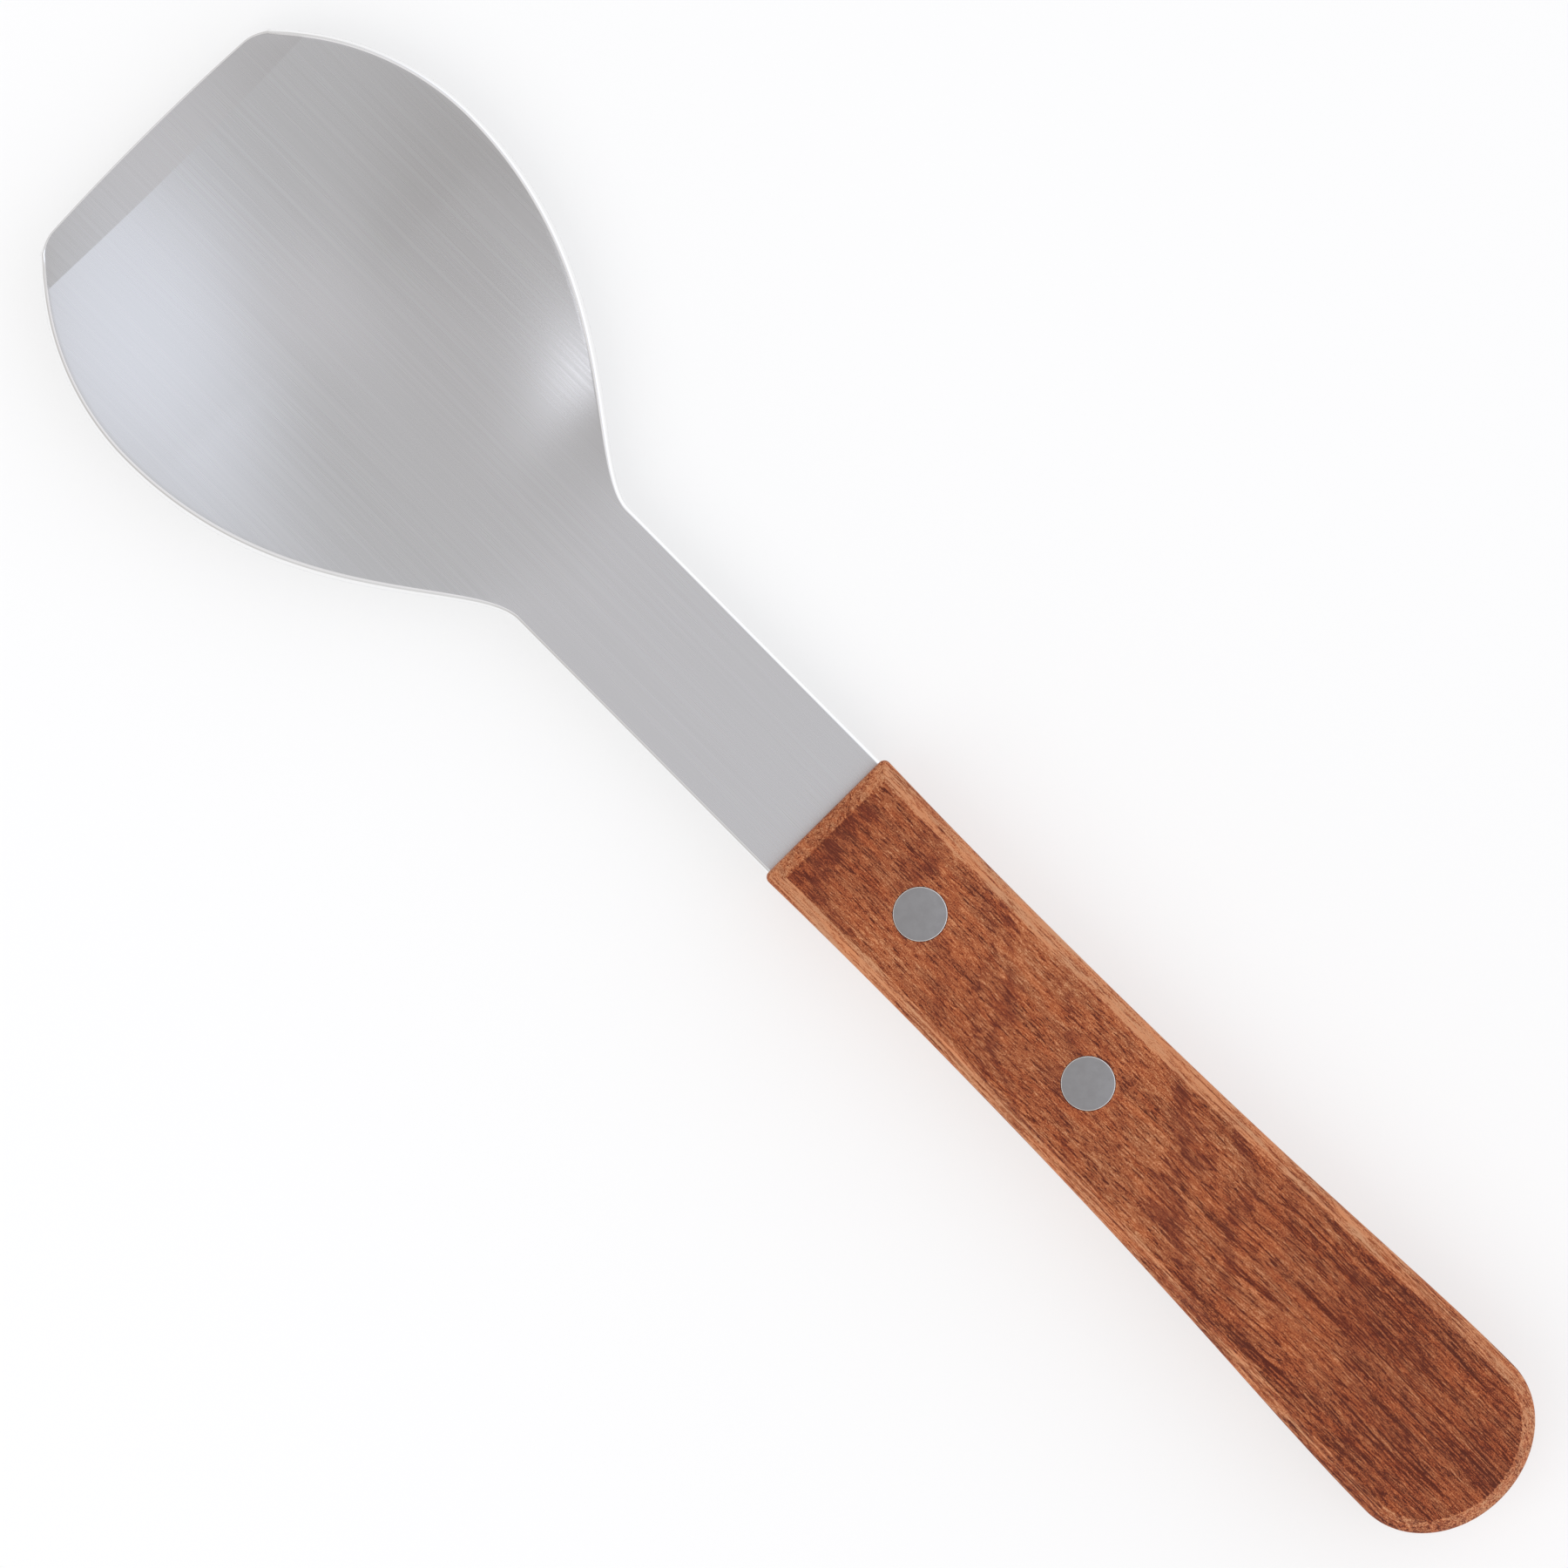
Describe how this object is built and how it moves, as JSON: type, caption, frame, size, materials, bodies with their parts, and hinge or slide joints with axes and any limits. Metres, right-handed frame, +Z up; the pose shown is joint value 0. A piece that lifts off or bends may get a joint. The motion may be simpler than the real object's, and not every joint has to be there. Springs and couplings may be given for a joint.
{
  "type": "ice cream spade",
  "caption": "Flat-ended ice cream spade with a shallow dished steel blade on a riveted wooden handle, for scraping and packing ice cream.",
  "frame": {"origin": "on the surface that the spade lies on, below the middle of its length and width", "axes": "+X towards the cutting edge along the spade's length, +Y across it, +Z up out of the bowl's hollow"},
  "size_m": [0.2288, 0.0592, 0.016],
  "materials": {
    "blade_steel": "satin, brushed lengthwise",
    "handle_wood": "open-pored, thin oil finish",
    "rivet_steel": "dull, ground flat"
  },
  "bodies": {
    "root": {"blade": "blade_steel", "handle": "handle_wood", "front_rivet_tube": "rivet_steel", "front_rivet_post": "rivet_steel", "rear_rivet_tube": "rivet_steel", "rear_rivet_post": "rivet_steel"}
  },
  "joints": []
}
